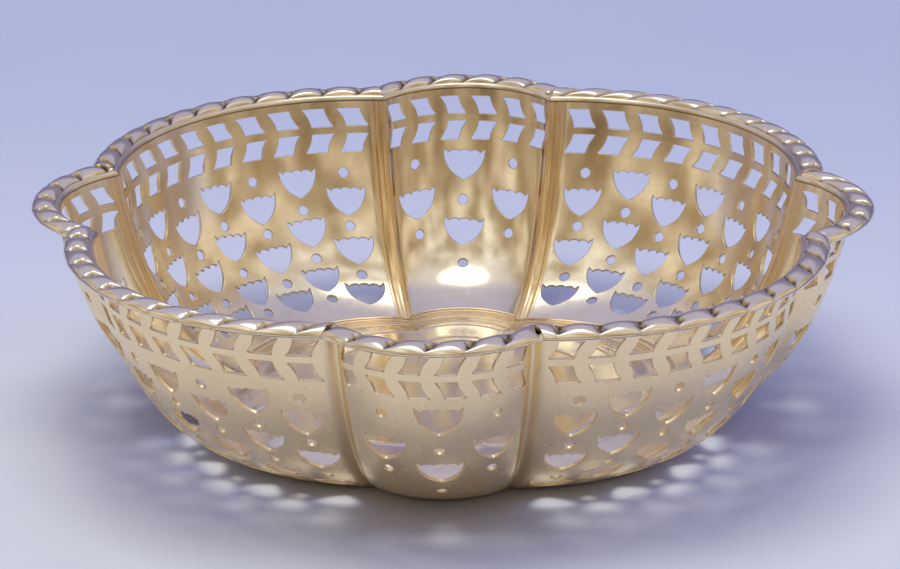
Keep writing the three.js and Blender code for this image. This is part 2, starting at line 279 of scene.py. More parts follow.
def motifPlaces(kind, motif):
    # Hearts or dots as (share of the lobe's half width, depth)
    layout = motifLayout[kind]
    places = []
    for column in range(-layout["outermost"], layout["outermost"] + 1):
        first, drop, count = layout[motif][column % 2]
        t = layout["shift"] + column * layout["columnStep"]
        places += [(t, first + drop * row) for row in range(count)]
    return places


def strayed(outline, random):
    shift, turn = piercing["handError"]
    outline = turned(outline * random.uniform(*piercing["sizeError"]), random.normal(0, turn))
    return outline + random.normal(0, shift / 2, 2)


def holesOf(lobe, random):
    # Each hole as (middle along the rim, its depth, outline about the middle with x along and y up)
    holes = []
    p, kind = piercing, lobe["kind"]
    limit = lobe["joinArc"] - p["creaseClear"]
    count, reach = p["chevrons"][kind], lobe["halfArc"] - p["chevronMargin"][kind]
    for depth, height, lean in p["chevronRows"]:
        pitch = 2 * reach * wallLevel(depth)[0] / count
        for i in range(count):
            outline = chevronOutline(pitch - p["chevronBar"], height, lean) * random.uniform(*p["sizeError"], 2)
            middle = reach * (-1 + (2 * i + 1) / count)
            share = wallLevel(depth - outline[:, 1])[0]
            outline[:, 0] = np.clip(outline[:, 0], (-limit - middle) * share, (limit - middle) * share)
            holes.append((middle, depth, outline))
    for motif, shape in (("hearts", heartOutline(*motifLayout[kind]["heart"])), ("dots", dotOutline())):
        for t, depth in motifPlaces(kind, motif):
            holes.append((t * lobe["halfArc"], depth, strayed(shape, random)))
    return holes


def outwardOf(outline):
    # Outward directions along a counter-clockwise outline
    run = unit(np.roll(outline, -1, axis=0) - np.roll(outline, 1, axis=0))
    return np.stack([run[:, 1], -run[:, 0]], 1)


def insideOutline(points, outline):
    x, y = points[:, 0:1], points[:, 1:2]
    ax, ay = outline[:, 0], outline[:, 1]
    bx, by = np.roll(ax, -1), np.roll(ay, -1)
    edgeX = (bx - ax) * (y - ay) / np.where(by == ay, 1e-9, by - ay) + ax
    crosses = ((ay > y) != (by > y)) & (x < edgeX)
    return crosses.sum(1) % 2 == 1


# How finely the visible sheet is divided, in millimetres
grain = {
    "column": 1.5, "row": 1.1, "creaseColumns": 6,
    # Loose points between the holes: apart, rows and space at their ends as shares of that, off an edge
    "field": 1.6, "fieldRow": 0.87, "fieldShort": 0.4, "clear": 0.6,
    "endColumns": [0.3, 0.6, 0.95, 1.35, 1.8, 2.4],    # closer columns beside a crease
    "endRow": 0.9, "endClear": 0.3,
    "topLip": 0.3,             # the sheet runs this far up into the border
    "panelDepth": 41.0,        # the pierced panel ends here and the base begins
    "mergesPerMm": 2000,       # points in the same cell of this grid are one
}
inset = 0.05    # how far inside a hole the point lies that its wall faces


def panelColumns(lobe):
    ends = lobe["joinArc"] - np.array([0.0] + grain["endColumns"])
    count = 2 * round(ends[-1] / grain["column"])
    return np.concatenate([-ends[:-1], np.linspace(-ends[-1], ends[-1], count + 1), ends[-2::-1]])


def panelRows():
    count = round(grain["panelDepth"] / grain["row"])
    return np.concatenate([[-grain["topLip"]], np.linspace(0, grain["panelDepth"], count + 1)])


def toFlat(marks):
    return np.stack([marks[:, 0] * wallLevel(marks[:, 1])[0], -marks[:, 1]], 1)


def loosePoints(lobe):
    # Marks between the holes: staggered rows, closer columns at both ends, and how clear each has to be
    g = grain
    step, foot = g["field"], g["panelDepth"]
    ends = lobe["joinArc"] - np.array(g["endColumns"])
    field = []
    for i, depth in enumerate(np.arange(step / 2, foot - step / 3, step * g["fieldRow"])):
        share = wallLevel(depth)[0]
        half = ends[-1] * share - step * g["fieldShort"]
        xs = np.arange(-half, half, step) + (i % 2) * step / 2
        field.append(np.stack([xs / share, np.full_like(xs, depth)], 1))
    field = np.concatenate(field)
    endRows = np.arange(g["endRow"] / 2, foot - g["endRow"] / 3, g["endRow"])
    beside = np.stack(np.meshgrid(np.concatenate([-ends, ends]), endRows), -1).reshape(-1, 2)
    clear = np.repeat([g["clear"], g["endClear"]], [len(field), len(beside)])
    return np.concatenate([field, beside]), clear


def cutPanel(lobe, random):
    # One lobe's flat panel with its holes cut: marks (along, depth), triangles and each hole's rings
    columns, rows = panelColumns(lobe), panelRows()
    foot = np.stack([columns, np.full_like(columns, rows[-1])], 1)
    right = np.stack([np.full(len(rows) - 2, columns[-1]), rows[1:-1][::-1]], 1)
    top = np.stack([columns[::-1], np.full_like(columns, rows[0])], 1)
    left = right[::-1] * (-1, 1)
    outer = np.concatenate([foot, right, top, left])

    edges, cuts = [outer], []
    for middle, depth, outline in holesOf(lobe, random):
        outward = outwardOf(outline)
        rings = []
        for ring in (outline + outward * piercing["edgeRound"], outline, outline - outward * inset):
            at = depth - ring[:, 1]
            rings.append(np.stack([middle + ring[:, 0] / wallLevel(at)[0], at], 1))
        edges.append(rings[0])
        cuts.append(rings)
    outerFlat, *holesFlat = [toFlat(ring) for ring in edges]
    field, clear = loosePoints(lobe)
    fieldFlat = toFlat(field)
    keep = insideOutline(fieldFlat, outerFlat)
    for hole in holesFlat:
        near = np.linalg.norm(fieldFlat[:, None] - hole[None], axis=2).min(1) < clear
        keep &= ~near & ~insideOutline(fieldFlat, hole)
    marks = np.concatenate(edges + [field[keep]])
    flat = toFlat(marks)

    seams, start = [], 0
    for ring in edges:
        seams += [(start + i, start + (i + 1) % len(ring)) for i in range(len(ring))]
        start += len(ring)
    points, _, faces, origins, _, _ = geometry.delaunay_2d_cdt(
        [Vector(p) for p in flat.tolist()], seams, [], 0, 1e-5, True
    )
    origins = np.array([o[0] for o in origins])
    faces = origins[np.array(faces)]
    middles = flat[faces].mean(1)
    solid = insideOutline(middles, outerFlat)
    for hole in holesFlat:
        solid &= ~insideOutline(middles, hole)
    return marks, faces[solid], cuts


# What the materials read at each point: edge or hollow (tarnish round cut edges, painted shade in the rope's
# slots, pits, collar and mitre ends), millimetres to a crease (for the painted golden reflection and shade there),
# outer face or not
surfaceMarks = ("edge", "crease", "outside")
farOff = 9.0


def newPatches():
    # A mesh in the making: patches of points, their directions, faces and marks
    patches = {name: [] for name in ("points", "normals", "faces", "shade") + surfaceMarks}
    patches["count"] = 0
    return patches


def addPatch(patches, points, normals, faces, edge=0.0, crease=farOff, outside=0.0, shade=0):
    # Patches with the same shade number are shaded as one smooth surface where they meet
    points = points.reshape(-1, 3)
    normals = np.broadcast_to(normals.reshape(-1, 3), points.shape)
    faces = np.asarray(faces).reshape(-1, np.shape(faces)[-1])
    a, b, c = (points[faces[:, k]] for k in range(3))
    if (np.cross(b - a, c - a) * normals[faces[:, 0]]).sum() < 0:
        faces = faces[:, ::-1]    # the whole patch looks the way its points do
    if faces.shape[1] == 3:    # a triangle's fourth corner is -1
        faces = np.concatenate([faces, np.full((len(faces), 1), -1 - patches["count"])], 1)
    patches["points"].append(points)
    patches["normals"].append(normals)
    patches["faces"].append(faces + patches["count"])
    for name, value in (("edge", edge), ("crease", crease), ("outside", outside), ("shade", shade)):
        patches[name].append(np.broadcast_to(np.asarray(value, float).reshape(-1), len(points)))
    patches["count"] += len(points)


def gridFaces(rows, columns, closed=False):
    across = columns if closed else columns - 1
    r, c = np.meshgrid(np.arange(rows - 1), np.arange(across), indexing="ij")
    nextColumn = (c + 1) % columns
    row, nextRow = r * columns, (r + 1) * columns
    return np.stack([row + c, row + nextColumn, nextRow + nextColumn, nextRow + c], -1).reshape(-1, 4)


def addObject(name, data):
    added = bpy.data.objects.new(name, data)
    bpy.context.scene.collection.objects.link(added)
    return added


def finishMesh(name, patches):
    points = np.concatenate(patches["points"])
    normals = np.concatenate(patches["normals"])
    faces = np.concatenate(patches["faces"])
    key = np.round(points * grain["mergesPerMm"]).astype(np.int64)
    _, first, merged = np.unique(key, axis=0, return_index=True, return_inverse=True)
    merged = merged.reshape(-1)
    # A merged point has one direction for each shade number, so caps and lips stay sharp
    shade = np.concatenate(patches["shade"]).astype(int)
    shaded = np.unique(merged * 2 + shade, return_inverse=True)[1].reshape(-1)
    mean = np.zeros((shaded.max() + 1, 3))
    np.add.at(mean, shaded, normals)
    mean = unit(mean)
    loops, cornerNormals = [], []
    for face in faces.tolist():
        corners = [v for v in face if v >= 0]
        corners = [v for i, v in enumerate(corners) if merged[v] != merged[corners[i - 1]]]
        if len(corners) > 2:
            loops.append(merged[corners].tolist())
            cornerNormals += mean[shaded[corners]].tolist()
    mesh = bpy.data.meshes.new(name)
    mesh.from_pydata((points[first] * mm).tolist(), [], loops)
    mesh.polygons.foreach_set("use_smooth", np.ones(len(mesh.polygons), bool))
    for mark in surfaceMarks:
        layer = mesh.attributes.new(mark, "FLOAT", "POINT")
        layer.data.foreach_set("value", np.concatenate(patches[mark])[first].astype(np.float32))
    mesh.normals_split_custom_set(cornerNormals)
    mesh.update()
    return addObject(name, mesh)


# Base inside the wall's foot, shares of the rim and millimetres of height of the outer face
baseShape = {
    "steps": [(0.612, 0.22), (0.599, 0.20), (0.586, 0.18)],    # small drops from the wall to the ring
    "linesAt": 0.600,         # middle of the fine lines, and of the painted golden reflection and shade, round the foot, as along the creases
    "creaseFade": (0.580, 30.0),    # where the creases' painted golden reflection and shade start to fade, and how quickly
    "stepHalf": 0.0024,       # half width of one drop
    "ringInner": 0.553, "riseInner": 0.484, "rise": 1.15,
    "edgeLine": (0.478, 0.14, 0.005),    # fine raised line round the middle: share, height and width
    "innerLine": (0.392, 0.10, 0.006),
}


# Rows of the base, close together only where it bends. The underside is plainer than the face that is seen
baseGrain = {
    "wallEnd": 42.2, "wallRow": 0.4,      # depth where the tight bend comes near, and the rows down to it
    "footEnd": 0.616, "footRows": 12,     # the bend itself, down to a share of the rim
    "plain": [0.44, 0.34, 0.26, 0.17, 0.08, 0.0],
    "under": {"acrossStep": (-1, 0, 1), "acrossLine": (-1.5, 0, 1.5), "riseRows": 7},
    "seen": {
        "acrossStep": (-1, -0.6, -0.2, 0.2, 0.6, 1),
        "acrossLine": (-2, -1.2, -0.6, 0, 0.6, 1.2, 2), "riseRows": 11,
    },
    "profileFrom": 0.75, "profilePoints": 12001,    # the close profile that the rows are taken from
}


def baseRows(face):
    b, g = baseShape, baseGrain
    rows = [
        wallLevel(np.arange(grain["panelDepth"], g["wallEnd"], g["wallRow"]))[0],
        np.linspace(wallLevel(g["wallEnd"])[0], g["footEnd"], g["footRows"]),
        np.linspace(b["ringInner"], b["riseInner"], g[face]["riseRows"]),
        g["plain"],
    ]
    rows += [share + b["stepHalf"] * np.array(g[face]["acrossStep"]) for share, _ in b["steps"]]
    for share, _, width in (b["edgeLine"], b["innerLine"]):
        rows.append(share + width * np.array(g[face]["acrossLine"]))
    return np.unique(np.concatenate(rows).round(6))[::-1]


def eased(shares, start, end):
    # Rises from 0 to 1 on the way in from one share of the rim to another
    return 0.5 - 0.5 * np.cos(np.pi * np.clip((start - shares) / (start - end), 0, 1))


def baseLevels(shares):
    # The base at these shares of the rim, as wallLevel gives the wall
    b = baseShape
    foot = bowl["wall"][3][0]
    fine = np.linspace(baseGrain["profileFrom"], 0, baseGrain["profilePoints"])
    wall = np.interp(-fine, -(curvePlaces[:, 0] / rimRadius), curvePlaces[:, 1])
    height = np.where(fine > foot, wall, curvePlaces[-1, 1])
    onTable = curvePlaces[-1, 1] / sum(drop for _, drop in b["steps"])    # the drops end on the table
    for share, drop in b["steps"]:
        height -= drop * onTable * eased(fine, share + b["stepHalf"], share - b["stepHalf"])
    height += b["rise"] * eased(fine, b["ringInner"], b["riseInner"])
    for share, rise, width in (b["edgeLine"], b["innerLine"]):
        height += rise * np.exp(-((fine - share) / width) ** 2)
    slope = np.gradient(height, fine * rimRadius)
    heights, slopes = (np.interp(-shares, -fine, values) for values in (height, slope))
    length = np.hypot(1, slopes)
    levels = (shares.copy(), heights, -1 / rimRadius / length, -slopes / length)
    for values, onWall in zip(levels, wallLevel(grain["panelDepth"])):
        values[0] = onWall    # the first row is the panels' last one
    return levels


def fromCrease(lobe, along, share):
    # Distance along the sheet to the crest of the nearest crease, or to the lines round the foot
    toCrest = (lobe["joinArc"] + lobe["creaseArc"] - np.abs(along)) * share
    # Beyond a share of the rim the painted golden reflection of the creases fades out towards the middle of the
    # base
    fadeFrom, fadeRate = baseShape["creaseFade"]
    toCrest = toCrest + fadeRate * np.maximum(fadeFrom - share, 0)
    return np.minimum(toCrest, np.abs(share - baseShape["linesAt"]) * rimRadius)


def addSheet(patches, lobe, turn, along, level, side, faces):
    # One face of the sheet over a set of marks: how far it is sunk, which way it looks, outer or not
    sunk, facing, outside = side
    points, normals = sheetPoints(lobe, turn, along, level, sunk)
    addPatch(patches, points, facing * normals, faces, crease=fromCrease(lobe, along, level[0]), outside=outside)


def addHoleWall(patches, lobe, turn, face, cut, inner):
    # The wall of one hole, from the outer face's edge over two broken edges to the inner face's
    sheet, edgeRound = bowl["sheet"], piercing["edgeRound"]
    ring = []
    for mark, sunk in ((face, 0.0), (cut, edgeRound), (cut, sheet - edgeRound), (face, sheet)):
        ring.append(sheetPoints(lobe, turn, mark[:, 0], wallLevel(mark[:, 1]), sunk))
    into = unit(sheetPoints(lobe, turn, inner[:, 0], wallLevel(inner[:, 1]), edgeRound)[0] - ring[1][0])
    addPatch(
        patches,
        np.stack([points for points, _ in ring]),
        np.stack([ring[0][1], into, into, -ring[3][1]]),
        gridFaces(4, len(cut), closed=True),
        edge=np.repeat([0.0, 1.0, 1.0, 0.0], len(cut)),
        outside=np.repeat([1.0, 1.0, 0.0, 0.0], len(cut)),
    )


def raiseBody():
    patches = newPatches()
    sheet = bowl["sheet"]
    random = np.random.default_rng(piercing["seed"])
    rows = panelRows()
    sides = ((0.0, 1, 1.0), (sheet, -1, 0.0))
    levels = [baseLevels(baseRows(face)) for face in ("under", "seen")]
    for _, lobe, turn in lobes:
        marks, faces, holes = cutPanel(lobe, random)
        for side in sides:
            addSheet(patches, lobe, turn, marks[:, 0], wallLevel(marks[:, 1]), side, faces)
        for rings in holes:
            addHoleWall(patches, lobe, turn, *rings)
        # The rounded creases beside the panel, then the base under all of it
        crease = lobe["joinArc"] + lobe["creaseArc"] * np.linspace(0, 1, grain["creaseColumns"])
        columns = np.concatenate([-crease[:0:-1], panelColumns(lobe), crease[1:]])
        for along in (crease, -crease[::-1]):
            a, depth = np.meshgrid(along, rows)
            for side in sides:
                addSheet(patches, lobe, turn, a, wallLevel(depth), side, gridFaces(*a.shape))
        for side, level in zip(sides, levels):
            a, k = np.meshgrid(columns, np.arange(len(level[0])))
            addSheet(patches, lobe, turn, a, tuple(v[k] for v in level), side, gridFaces(*a.shape))
        # Top edge of the sheet, under the rope
        a, sunk = np.meshgrid(columns, [0.0, sheet])
        points, _ = sheetPoints(lobe, turn, a, wallLevel(np.full_like(a, rows[0])), sunk)
        addPatch(patches, points, np.array([0, 0, 1.0]), gridFaces(*a.shape), shade=1)
    return finishMesh("piercedBowl", patches)


# Rope border, in millimetres: u runs outwards and up from the rope's middle line
ropeShape = {
    "pitch": 6.15,
    "crown": 1.2,            # height of the dome
    "valley": 0.84,          # share of it that is lost between two strands
    "outerRelief": 0.2, "reliefSpan": (0.1, 0.9),    # share of that relief left outside, and where it is lost
    "sweep": 0.5,            # share of a pitch that a strand moves along from one edge to the other
    "strand": (2.1, 0.72),   # fullness of a strand across, and steepness of its sides
    "slot": (0.3, 0.34),     # thin line between two strands: depth and half width
    "pit": (0.15, 1.0, 0.55),     # small pit in each slot: place out, depth and size
    "bead": (-0.68, 0.4, 0.26),   # small bead beside the pit: place along from it, height and size
    "middleHeight": 0.14, "fallOut": 0.28,    # the dome's foot in the middle, and its fall to either edge
    "lowest": -0.2,
    "slotShadeReach": 0.42, "pitShade": 1.9,    # how far the painted shade spreads out of a slot, and its strength in a pit
    # The plain step inside the rope, then its underside: out, height and how much painted shade it gets
    "collar": [
        (-2.06, 0.32, 0.3), (-2.2, 0.42, 0.0), (-2.4, 0.36, 0.0), (-2.62, 0.17, 0.1), (-2.78, -0.08, 0.3),
        (-2.9, -0.3, 0.7), (-2.88, -0.38, 1.0), (-2.75, -0.5, 1.0), (1.5, -0.5, 0.5), (1.96, -0.15, 0.2),
    ],
    "sectionPoints": 21, "station": 0.28,    # how finely it is divided across and along
    "mitreGap": 0.06, "mitreShade": 0.4,      # between two lengths, and the painted shade on their ends
}


def ropeSurface(u, along, pitch):
    # Height of the rope over its middle line, and the painted shade in the slots between strands and in the pits
    r = ropeShape
    half = bowl["ropeWidth"] / 2
    v = np.clip(u / half, -1, 1)
    pitOut, pitDepth, pitSize = r["pit"]
    beadAlong, beadHeight, beadSize = r["bead"]
    sweep = r["sweep"] * pitch / np.pi
    f = np.mod((along + sweep * np.arcsin(v)) / pitch, 1.0)
    fullness, steepness = r["strand"]
    start, end = r["reliefSpan"]
    relief = 1 - (1 - r["outerRelief"]) * np.clip((v - start) / (end - start), 0, 1)
    strand = 1 - relief * (1 - np.clip(1 - np.abs(2 * f - 1) ** fullness, 0, 1) ** steepness)
    fromSlot = np.minimum(f, 1 - f) * pitch
    slot = r["slot"][0] * relief * np.exp(-(fromSlot / r["slot"][1]) ** 2) * np.sqrt(1 - v ** 2)
    fromPit = (np.mod((along + sweep * np.arcsin(pitOut / half)) / pitch + 0.5, 1.0) - 0.5) * pitch
    inPit = np.exp(-(fromPit ** 2 + (u - pitOut) ** 2) / pitSize ** 2)
    onBead = np.exp(-((fromPit - beadAlong) ** 2 + (u - pitOut) ** 2) / beadSize ** 2)
    rise = r["crown"] * np.sqrt(np.clip(1 - v ** 2, 0, 1)) * (1 - r["valley"] * (1 - strand))
    foot = r["middleHeight"] - r["fallOut"] * v
    height = rise + foot - slot - pitDepth * inPit + beadHeight * onBead
    # Painted shade: dark in the slots between strands and in the pits, none on the beads
    inSlot = relief * np.exp(-(fromSlot / r["slotShadeReach"]) ** 2)
    paintedShade = np.maximum(inSlot, r["pitShade"] * inPit) * (1 - onBead)
    return np.maximum(height, r["lowest"]), paintedShade


def mitreReach(lobe, u):
    # Angle at which the border, at u out from its middle line, meets the cut between two lobes
    other = largeLobe if lobe is smallLobe else smallLobe
    cut = (lobe["halfAngle"] + math.pi / 4 - other["halfAngle"]) / 2 + math.pi / 2
    reach = lobe["radius"] * math.cos(lobe["halfAngle"] - cut) - ropeShape["mitreGap"] / 2
    return cut - np.arccos(reach / (lobe["radius"] + u))


def layRope(place, lobe, turn):
    r = ropeShape
    half = bowl["ropeWidth"] / 2
    twists = round(2 * lobe["halfArc"] / r["pitch"])
    pitch = 2 * lobe["halfArc"] / twists
    across = half * np.sin(np.linspace(np.pi / 2, -np.pi / 2, r["sectionPoints"]))
    stations = 2 * round(lobe["halfArc"] / r["station"])
    share = np.linspace(-1, 1, stations + 1)
    # The rope's second value is painted shade in its slots and pits
    rope, slotShade = ropeSurface(across[None, :], share[:, None] * lobe["halfArc"], pitch)
    collarOut, collarHeight, collarShade = np.array(r["collar"]).T
    us = np.concatenate([across, collarOut])
    heights = np.concatenate([rope, np.tile(collarHeight, (len(share), 1))], 1)
    # Painted shade for the rope's slots and pits and under its collar step
    hollow = np.concatenate([slotShade, np.tile(collarShade, (len(share), 1))], 1)

    angle = share[:, None] * mitreReach(lobe, us)[None, :]
    x = lobe["centre"] + (lobe["radius"] + us) * np.cos(angle)
    y = (lobe["radius"] + us) * np.sin(angle)
    points = turned(np.stack([x, y, bowl["ropeHeight"] + heights], -1), turn)
    # Directions from the grid itself: along the rope crossed with round its section
    alongStep = np.gradient(points, axis=0)
    roundStep = (np.roll(points, -1, axis=1) - np.roll(points, 1, axis=1)) / 2
    normals = unit(np.cross(roundStep, alongStep))
    middle = points.mean(1, keepdims=True)
    if ((points - middle) * normals).sum() < 0:
        normals = -normals
    patches = newPatches()
    count = len(us)
    addPatch(patches, points, normals, gridFaces(len(share), count, closed=True), edge=hollow)
    for end in (0, -1):
        ring = points[end]
        cap = np.concatenate([ring, ring.mean(0, keepdims=True)])
        facing = unit(np.cross(ring[count // 3] - ring[0], ring[2 * count // 3] - ring[0]))
        outwards = ring.mean(0) - points[len(share) // 2].mean(0)
        if np.dot(facing, outwards) < 0:
            facing = -facing
        fan = [(i, (i + 1) % count, count) for i in range(count)]
        # The end caps get painted shade, as in the gap between two lengths
        addPatch(patches, cap, facing, fan, edge=r["mitreShade"], shade=1)
    return finishMesh("ropeBorder_" + place, patches)


# Finish that both silver materials share; sizes in metres, along the creases in millimetres
silver = {
    # The outer face's warmer, more orange tint is a painted warm reflection of the room in front
    "metal": (0.92, 0.84, 0.68), "outsideWarmReflection": (1.0, 0.82, 0.50), "creaseGoldenReflection": (0.97, 0.77, 0.48),
    "outsideRoughness": 0.14, "outsideFilm": 0.5,    # added on the outer face; share of the tarnish left there
    "creaseLineSpacing": 0.62, "creaseLineHeight": 0.00003,
    "creaseReach": (0.9, 1.9),   # where the painted golden reflection and shade beside a crest start to fade, and where they end
    "wobbleSize": 0.009, "wobbleDetail": 1.5,
    "scratchSize": 0.0012, "scratchHeight": 0.0000014, "scratchRoughness": 0.05,
    "scratchTurns": (0.35, 1.9), "scratchStretch": 0.06, "scratchDetail": (3.0, 0.6), "scratchSeen": (0.9, 1.3),
    # Noise of the tarnish: cells per metre and detail, and the part of it that shows
    "clouds": (95.0, 4.0, 0.6), "cloudsSeen": (0.35, 0.75),
    "specks": (900.0, 2.0), "specksSeen": (0.55, 0.75), "speckShare": 0.3,
    "hollowShadeAndFilm": 0.55, "filmRoughness": 0.22,    # film in a full hollow (tarnish round cut edges, painted shade in the rope and along creases), and what full film adds
}

# Polished sheet and cast rope: tarnish film all over and round cut edges, painted shade in the rope's hollows and
# along creases
sheetFinish = {
    "roughness": 0.13, "film": 0.16, "hollow": 0.25, "crease": 0.2, "wobble": 0.0001,
    "filmAndShade": (0.34, 0.21, 0.10),
}
ropeFinish = {
    "roughness": 0.14, "film": 0.1, "hollow": 1.85, "crease": 0.0, "wobble": 0.00002,
    "filmAndShade": (0.13, 0.08, 0.05),
}


def colour(values):
    return (*values, 1.0)


def newGroup(name, inputs, outputs):
    # An input has a starting value or, as each output has, the kind of its socket
    group = bpy.data.node_groups.new(name, "ShaderNodeTree")
    for side, sockets in (("INPUT", inputs), ("OUTPUT", outputs)):
        for label, value in sockets.items():
            kind = value if isinstance(value, str) else "Color" if isinstance(value, tuple) else "Float"
            socket = group.interface.new_socket(name=label, in_out=side, socket_type="NodeSocket" + kind)
            if kind != value:
                socket.default_value = value
    return group, group.nodes.new("NodeGroupInput").outputs, group.nodes.new("NodeGroupOutput")


def feed(tree, node, values):
    # Links or sets each named socket of a node
    for label, value in values.items():
        if isinstance(value, bpy.types.NodeSocket):
            tree.links.new(value, node.inputs[label])
        else:
            node.inputs[label].default_value = value
    return node


def addNode(tree, kind, values=()):
    return feed(tree, tree.nodes.new("ShaderNode" + kind), dict(values))


def calc(tree, operation, *values):
    node = addNode(tree, "Math", enumerate(values))
    node.operation = operation
    return node.outputs[0]


def ranged(tree, value, fromLow, fromHigh, toLow=0.0, toHigh=1.0):
    node = addNode(tree, "MapRange", {
        "Value": value, "From Min": fromLow, "From Max": fromHigh, "To Min": toLow, "To Max": toHigh,
    })
    node.interpolation_type = "SMOOTHSTEP"
    return node.outputs["Result"]


def mixColour(tree, factor, a, b, blend="MIX"):
    node = addNode(tree, "Mix")
    node.data_type = "RGBA"
    node.blend_type = blend
    first, second = (i for i, socket in enumerate(node.inputs) if socket.type == "RGBA")
    feed(tree, node, {0: factor, first: a, second: b})
    return next(socket for socket in node.outputs if socket.type == "RGBA")


def noise(tree, vector, scale, detail=2.0, roughness=0.5):
    values = {"Vector": vector, "Scale": scale, "Detail": detail, "Roughness": roughness}
    return addNode(tree, "TexNoise", values).outputs["Fac"]


def makeHandWobble():
    # Slow waves left in hand-worked sheet, as a height
    group, given, end = newGroup(
        "handWobble", {"Vector": "Vector", "Waves Per Metre": 80.0, "Height": 0.00006}, {"Height": "Float"},
    )
    slow = noise(group, given["Vector"], given["Waves Per Metre"], silver["wobbleDetail"])
    feed(group, end, {"Height": calc(group, "MULTIPLY", slow, given["Height"])})
    return group


def makePolishMarks():
    # Hair-fine lines of years of polishing: a height and a mask
    s = silver
    group, given, end = newGroup(
        "polishMarks",
        {"Vector": "Vector", "Lines Per Metre": 800.0, "Height": 0.000002}, {"Height": "Float", "Mask": "Float"},
    )
    heights = []
    for turn in s["scratchTurns"]:
        stretched = addNode(group, "Mapping", {
            "Vector": given["Vector"], "Rotation": (turn, 0.4 * turn, 1.7 * turn),
            "Scale": (1.0, s["scratchStretch"], 1.0),
        }).outputs["Vector"]
        heights.append(noise(group, stretched, given["Lines Per Metre"], *s["scratchDetail"]))
    both = calc(group, "ADD", *heights)
    high = calc(group, "MULTIPLY", both, given["Height"])
    feed(group, end, {"Height": high, "Mask": ranged(group, both, *s["scratchSeen"])})
    return group


def makeTarnishAndShade():
    # Warm tarnish film in clouds, specks and round cut edges, with painted shade in hollows: colour and roughness
    s = silver
    group, given, end = newGroup(
        "tarnishAndShade",
        {
            "Vector": "Vector", "Shade And Film Mask": 0.0, "Metal": colour(s["metal"]), "Film And Shade": colour(sheetFinish["filmAndShade"]),
            "Amount": 0.2, "Roughness": 0.15,
        },
        {"Color": "Color", "Roughness": "Float"},
    )
    clouds = ranged(group, noise(group, given["Vector"], *s["clouds"]), *s["cloudsSeen"])
    specks = ranged(group, noise(group, given["Vector"], *s["specks"]), *s["specksSeen"])
    film = calc(group, "MULTIPLY", clouds, given["Amount"])
    speckAmount = calc(group, "MULTIPLY", given["Amount"], s["speckShare"])
    film = calc(group, "ADD", film, calc(group, "MULTIPLY", specks, speckAmount))
    # The hollow mask adds tarnish round cut edges and painted shade in the rope's hollows and along creases
    inHollow = calc(group, "MULTIPLY", given["Shade And Film Mask"], s["hollowShadeAndFilm"])
    film = calc(group, "MINIMUM", calc(group, "ADD", film, inHollow), 1.0)
    extra = calc(group, "MULTIPLY", film, s["filmRoughness"])
    feed(group, end, {
        "Color": mixColour(group, film, given["Metal"], given["Film And Shade"]),
        "Roughness": calc(group, "ADD", given["Roughness"], extra),
    })
    return group


def makeCreaseLines():
    # Fine lines pressed along a crease, as a height, and a mask of the strip that gets painted golden reflection
    # and shade; distances in millimetres
    group, given, end = newGroup(
        "creaseLines",
        {"Distance": farOff, "Spacing": 0.6, "Height": 0.00003}, {"Height": "Float", "Mask": "Float"},
    )
    near = ranged(group, given["Distance"], *silver["creaseReach"], 1.0, 0.0)
    turns = calc(group, "DIVIDE", given["Distance"], given["Spacing"])
    wave = calc(group, "COSINE", calc(group, "MULTIPLY", turns, 2 * math.pi))
    high = calc(group, "MULTIPLY", calc(group, "MULTIPLY", wave, near), given["Height"])
    feed(group, end, {"Height": high, "Mask": near})
    return group


handWobble, polishMarks = makeHandWobble(), makePolishMarks()
tarnishAndShade, creaseLines = makeTarnishAndShade(), makeCreaseLines()


def placeGroup(tree, group, values):
    node = addNode(tree, "Group")
    node.node_tree = group
    return feed(tree, node, values).outputs


